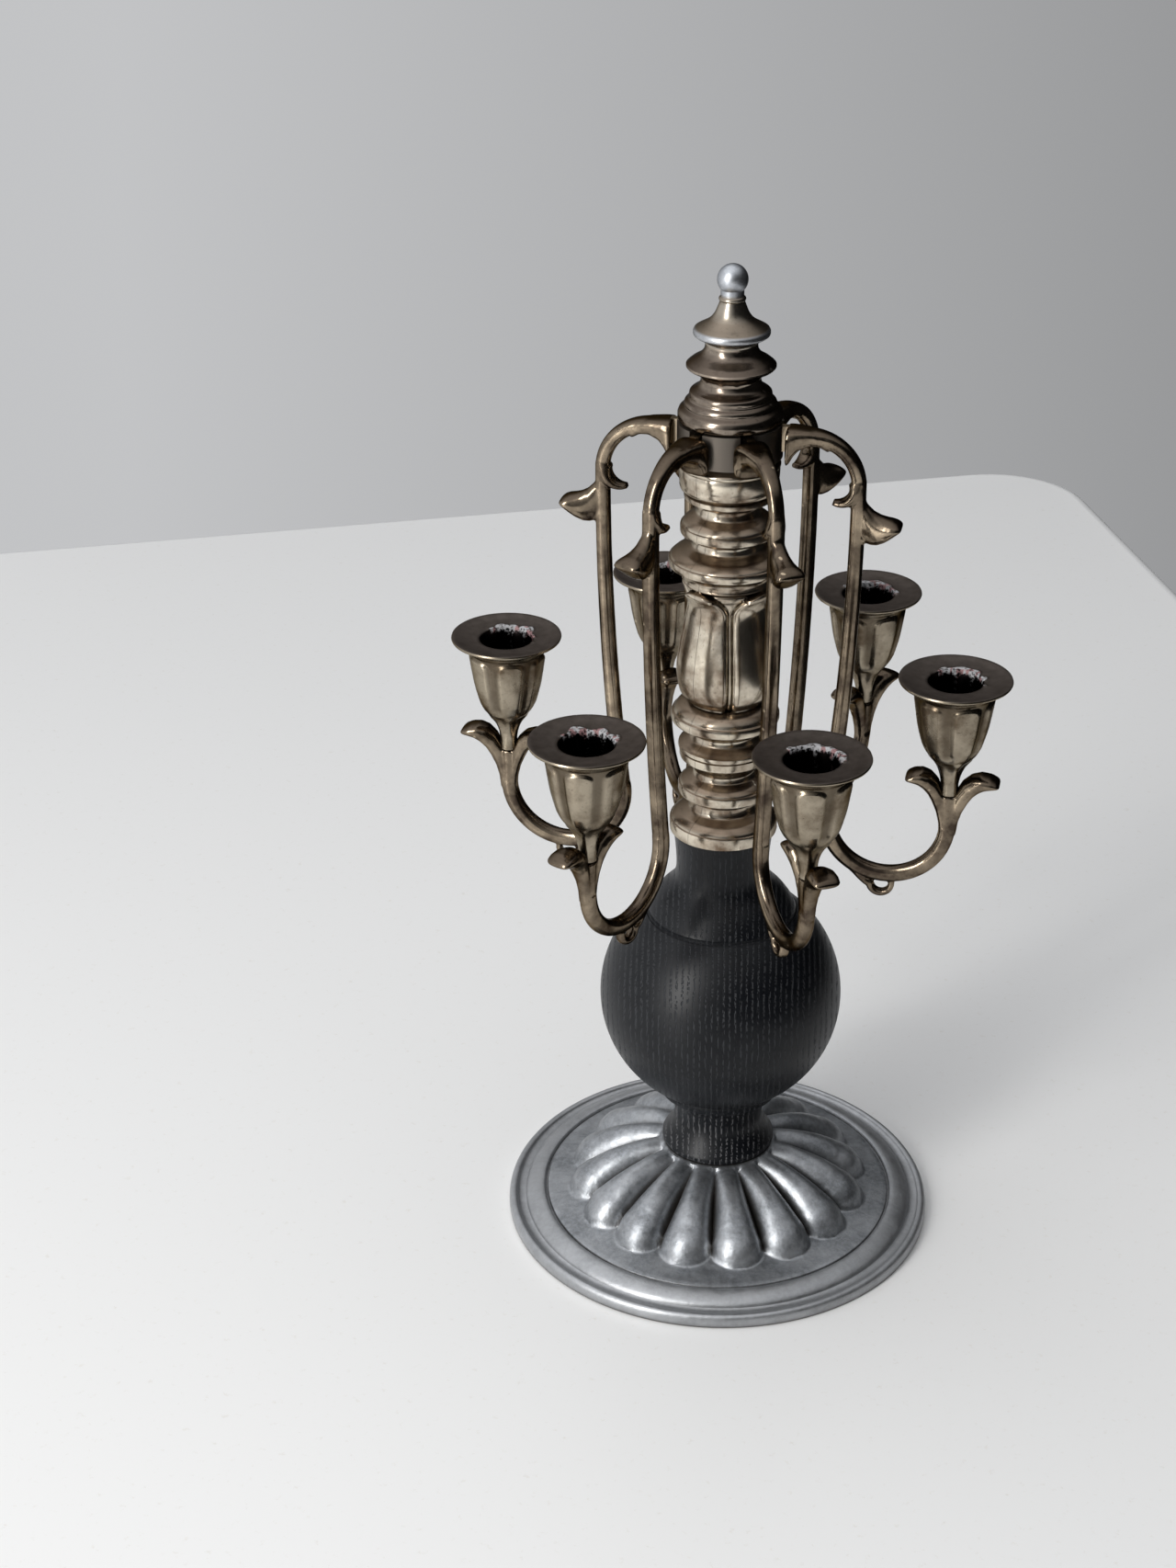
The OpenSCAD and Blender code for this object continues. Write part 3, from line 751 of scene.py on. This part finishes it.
def cup_outline():
    """The cup's turned outline from its foot, out over the flange and down to the socket's floor."""
    line = [(0, 124.65), (1.9, 124.65), (2.1, 124.9), (2.1, 127.4)]
    line += smooth_line([(2.15, 128.0), (2.5, 130.0), (3.3, 132.2), (4.8, 134.3), (6.1, 136.0),
                         (6.9, 137.6)], 6)
    line += smooth_line([(7.1, 138.1), (7.6, 139.9), (8.35, 143), (9.0, 147), (9.45, 150), (9.9, 152.1)], 10)
    line += smooth_line([(10.2, 152.7), (11.3, 153.4), (12.6, 153.85)], 3)
    line += [(13.1, 154.1), (13.22, 154.4), (13.1, 154.72), (12.8, 154.78)]
    line += smooth_line([(12.2, 154.66), (10.4, 154.3), (8.6, 154.1), (7.2, 154.0)], 5)
    line += [(6.7, 153.95), (6.42, 153.8), (candle_r, socket_top)]
    line += [(candle_r, socket_top + (socket_floor - socket_top) * (k + 1) / 8) for k in range(8)]
    return line + [(0, socket_floor)]


def panel_lift(azimuth, r, z):
    """How far the cup's face stands out from the panels' level, in mm: 0 on a panel, negative
    in the valleys between."""
    panel_turn = 2 * math.pi / panel_count
    off = (azimuth + panel_turn / 2) % panel_turn - panel_turn / 2
    half = 0.41 * panel_turn * r
    side = abs(off) * r
    shoulder = 0.62 * half
    if z > panel_high - shoulder:
        above = (z - (panel_high - shoulder)) / shoulder
        side = (side ** 2.6 + (half * min(above, 1.2)) ** 2.6) ** (1 / 2.6)
    inside = min(max((half - side + 0.3) / 1.7, 0.0), 1.0)
    fade = min(max((z - panel_low) / 2.5, 0.0), 1.0) * min(max((panel_end - z) / 1.6, 0.0), 1.0)
    return -panel_depth * fade * (1 - inside * inside * (3 - 2 * inside))


def make_cup(i):
    """One cup, with its panels, its wax and its own small differences, about the cup's axis."""
    cup = lathe(cup_outline(), 168)
    valley = cup.verts.layers.float.new("valley")
    for vert in cup.verts:
        r, z = math.hypot(vert.co.x, vert.co.y) / mm, vert.co.z / mm
        azimuth = math.atan2(vert.co.y, vert.co.x)
        if panel_low < z < panel_end and r > panel_from_r:
            lift = panel_lift(azimuth, r, z)
            vert[valley] = -lift / panel_depth
            out = (r + lift) / r
            vert.co.x *= out
            vert.co.y *= out
        elif flute_low < z <= panel_low and r > 2.12:
            flute = flute_depth * math.cos(panel_count * azimuth + math.pi)
            out = 1 - flute * min((z - flute_low) / 4, 1, panel_low - z)
            vert.co.x *= out
            vert.co.y *= out
    bmesh.ops.rotate(cup, verts=cup.verts[:], matrix=Matrix.Rotation(cup_turn[i], 3, "Z"))
    wax = cup.verts.layers.float.new("wax")
    blush = cup.verts.layers.float.new("blush")
    bore_shade = cup.verts.layers.float.new("bore_shade")
    wax_side = math.radians(78 + 6 * math.sin(2.3 * i)) - arm_step * i
    drips = [wax_side - 0.35, wax_side + 0.3]
    for vert in cup.verts:
        r, z = math.hypot(vert.co.x, vert.co.y) / mm, vert.co.z / mm
        if z < socket_floor - 0.05 or r > wax_to_r or (r > candle_r + 0.1 and z < lip_low):
            continue
        azimuth = math.atan2(vert.co.y, vert.co.x)
        patchy = noise.noise(Vector((3 * math.cos(azimuth), 3 * math.sin(azimuth), 7.3 * i)))
        behind = math.cos(azimuth - wax_side)
        if z > lip_low:
            near_socket = min(max((7.0 + 1.6 * patchy + 0.8 * behind - r) / 0.5, 0), 1)
            amount = near_socket * min(max(4 * (behind - 0.15) + 3 * patchy, 0), 1)
        else:
            drip_wide = 0.35 + 0.05 * (z - 139)
            run = max(1 - abs((azimuth - drip + math.pi) % (2 * math.pi) - math.pi) * r / drip_wide
                      for drip in drips)
            amount = min(max(run, 0), 0.5)
        vert[wax] = amount
        # The bore is painted nearly black, and the mouth's edge a little: painted shade inside the socket.
        vert[bore_shade] = min(max((candle_r + 0.5 - r) / 0.4, 0), 1)
        stain = noise.noise(Vector((0.9 * vert.co.x / mm, 0.9 * vert.co.y / mm, 3.1 * i)))
        vert[blush] = min(max(4 * stain, 0), 1)
        if z > lip_low:
            vert.co.z += 0.25 * mm * amount
    bmesh.ops.translate(cup, verts=cup.verts[:], vec=(cup_orbit_r * mm, 0, 0))
    return cup


def add_wax(material):
    """Lays old white wax with a little red over a metal, where the mesh says it clings, and paints shade into
    the socket's bore.
    """
    tree = material.node_tree
    shader = tree.nodes["Principled BSDF"]
    amount = put(material, "Attribute", {}, attribute_name="wax").outputs["Fac"]
    blush = put(material, "Attribute", {}, attribute_name="blush").outputs["Fac"]
    crumbs = between(material, speckle(material, 1500, 3, 0.6), 0.3, 0.6, 0.35, 1.0)
    ragged = put(material, "Math", {0: amount, 1: crumbs}, operation="MULTIPLY").outputs[0]
    cling = between(material, ragged, 0.45, 0.85)
    wax_colour = mix_colours(material, between(material, blush, 0.4, 0.8, 0.0, 0.7),
                             (0.36, 0.36, 0.37, 1), (0.20, 0.05, 0.05, 1))
    metal_colour = shader.inputs["Base Color"].links[0].from_socket
    metal_rough = shader.inputs["Roughness"].links[0].from_socket
    # Painted shade: the socket's bore goes nearly black.
    bore_shade = put(material, "Attribute", {}, attribute_name="bore_shade").outputs["Fac"]
    metal_colour = mix_colours(material, bore_shade, metal_colour, (0.012, 0.010, 0.010, 1))
    feed(material, "Base Color", mix_colours(material, cling, metal_colour, wax_colour))
    feed(material, "Metallic", between(material, cling, 0.0, 1.0, 1.0, 0.0))
    rough = put(material, "Mix", {0: cling, 2: metal_rough, 3: 0.45}, data_type="FLOAT").outputs[0]
    feed(material, "Roughness", rough)


def darken_top(material, from_z, to_z, colour):
    """Smokes a metal above a height, as candles have done to the flanges."""
    height = put(material, "SeparateXYZ", {0: object_place(material)}).outputs["Z"]
    normal = put(material, "NewGeometry", {}).outputs["Normal"]
    facing = put(material, "SeparateXYZ", {0: normal}).outputs["Z"]
    above = between(material, height, from_z, to_z)
    flat = between(material, facing, 0.3, 0.8)
    share = put(material, "Math", {0: above, 1: flat}, operation="MULTIPLY").outputs[0]
    shader = material.node_tree.nodes["Principled BSDF"]
    metal_colour = shader.inputs["Base Color"].links[0].from_socket
    sooty = mix_colours(material, between(material, speckle(material, 350, 5, 0.65), 0.35, 0.7),
                        (*colour, 1), (*[1.5 * c for c in colour], 1))
    feed(material, "Base Color", mix_colours(material, between(material, share, 0.0, 1.0, 0.0, 0.9),
                                             metal_colour, sooty))
    metal_rough = shader.inputs["Roughness"].links[0].from_socket
    feed(material, "Roughness", put(material, "Mix", {0: share, 2: metal_rough, 3: 0.52},
                                    data_type="FLOAT").outputs[0])


cup_silver = antique_silver("cup_silver", (0.37, 0.32, 0.245), (0.12, 0.09, 0.06),
                            (0.04, 0.032, 0.024), 0.75, 0.23, 0.55)
valley_share = put(cup_silver, "Attribute", {}, attribute_name="valley").outputs["Fac"]
cup_bare = cup_silver.node_tree.nodes["Principled BSDF"].inputs["Base Color"].links[0].from_socket
cup_grime = between(cup_silver, valley_share, 0.15, 1.0, 0.0, 0.75)
feed(cup_silver, "Base Color", mix_colours(cup_silver, cup_grime, cup_bare, (0.085, 0.066, 0.046, 1)))
darken_top(cup_silver, 0.1535, 0.1539, (0.085, 0.073, 0.067))
add_wax(cup_silver)
for i in range(arm_count):
    cup_mesh = finish_mesh(make_cup(i), f"cup_cast_{i + 1}")
    cup_mesh.transform(arm_place(i))
    cup_piece = show(f"cup_cast_{i + 1}", cup_mesh, cup_silver)
    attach(cup_piece, f"arm_{i + 1}")
    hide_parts(f"candle_cup_{i + 1}")

# ---------------------------------------------------------------- cap
# A turned cap of stacked rings, plated, but darker than the column. It slides on
# the rod and shuts the keyholes from above.

cap_low, cap_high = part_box("cap")
cap_line = [(2.3, cap_low.z / mm), (11.2, cap_low.z / mm), (11.65, 213.9), (11.9, 214.6), (11.9, 215.6),
            (11.6, 216.4), (11.1, 216.9), (10.6, 217.1), (10.4, 217.4), (10.5, 217.8), (10.3, 218.3)]
cap_line += smooth_line([(10.0, 218.6), (9.6, 218.9), (9.45, 219.2), (9.3, 219.4), (9.35, 219.9),
                         (9.2, 220.5), (8.7, 220.9)], 3)
cap_line += smooth_line([(8.2, 221.1), (7.3, 221.9), (6.8, 223.0), (7.0, 224.1), (8.0, 225.2),
                         (9.2, 225.8)], 4)
cap_line += [(9.8, 226.0), (10.1, 226.35), (10.1, 226.75), (9.85, 227.0)]
cap_line += smooth_line([(9.7, 227.1), (9.0, 227.7), (8.0, 228.3), (6.9, 229.1), (6.1, 230.2),
                         (5.9, 231.2)], 4)
cap_line += [(5.9, cap_high.z / mm), (2.3, cap_high.z / mm)]
cap_silver = antique_silver("cap_silver", (0.36, 0.305, 0.25), (0.08, 0.06, 0.047),
                            (0.014, 0.011, 0.009), 0.75, 0.16)
cap_piece = show("cap_turning", finish_mesh(lathe(cap_line, 192), "cap_turning"), cap_silver)
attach(cap_piece, "cap")
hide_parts("cap")

# ---------------------------------------------------------------- finial
# The finial is a nut for the tie rod: a disc, a bell and a neck under a small
# ball. The plate has worn through to bare zinc on the ball and the disc's edge.

finial_low, finial_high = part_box("finial")
finial_ball_r, finial_ball_z = 3.46, 246.0
finial_neck_r = 2.6
nut_bore_r, nut_bore_top = 2.15, 237.6
finial_line = [(nut_bore_r, finial_low.z / mm), (6.0, finial_low.z / mm)]
finial_line += smooth_line([(6.1, 232.1), (6.5, 232.7), (7.4, 233.1), (8.1, 233.3)], 3)
finial_line += [(8.5, 233.6), (8.62, 233.9), (8.62, 234.5), (8.4, 234.9), (8.1, 235.1)]
finial_line += smooth_line([(7.9, 235.2), (7.2, 235.6), (6.2, 236.15), (4.9, 237.1), (3.9, 238.4),
                            (3.2, 240.0), (2.75, 241.2)], 5)
finial_line += [(2.95, 241.4), (3.05, 241.7), (2.95, 242.0), (finial_neck_r, 242.3)]
neck_turn = -math.acos(finial_neck_r / finial_ball_r)
finial_line += [(finial_ball_r * math.cos(a), finial_ball_z + finial_ball_r * math.sin(a))
                for a in [neck_turn + (math.pi / 2 - neck_turn) * k / 28 for k in range(28)]]
finial_line += [(0, finial_ball_z + finial_ball_r), (0, nut_bore_top), (nut_bore_r, nut_bore_top)]
finial_silver = antique_silver("finial_silver", (0.50, 0.455, 0.385), (0.19, 0.15, 0.112),
                               (0.035, 0.028, 0.022), 0.35, 0.22)
worn_height = put(finial_silver, "SeparateXYZ", {0: object_place(finial_silver)}).outputs["Z"]
bare_ball = between(finial_silver, worn_height, 0.2421, 0.2429)
off_disc = put(finial_silver, "Math", {0: worn_height, 1: 0.2341}, operation="SUBTRACT").outputs[0]
bare_disc = between(finial_silver, put(finial_silver, "Math", {0: off_disc}, operation="ABSOLUTE").outputs[0],
                    0.0007, 0.0011, 0.9, 0.0)
bare_share = put(finial_silver, "Math", {0: bare_ball, 1: bare_disc}, operation="MAXIMUM").outputs[0]
plate_colour = finial_silver.node_tree.nodes["Principled BSDF"].inputs["Base Color"].links[0].from_socket
bare_zinc = mix_colours(finial_silver, between(finial_silver, speckle(finial_silver, 900, 5, 0.7), 0.4, 0.65),
                        (0.40, 0.42, 0.45, 1), (0.52, 0.54, 0.57, 1))
feed(finial_silver, "Base Color", mix_colours(finial_silver, bare_share, plate_colour, bare_zinc))
plate_rough = finial_silver.node_tree.nodes["Principled BSDF"].inputs["Roughness"].links[0].from_socket
feed(finial_silver, "Roughness", put(finial_silver, "Mix", {0: bare_share, 2: plate_rough, 3: 0.40},
                                     data_type="FLOAT").outputs[0])
finial_piece = show("finial_turning", finish_mesh(lathe(finial_line, 128), "finial_turning"), finial_silver)
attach(finial_piece, "finial")
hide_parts("finial")
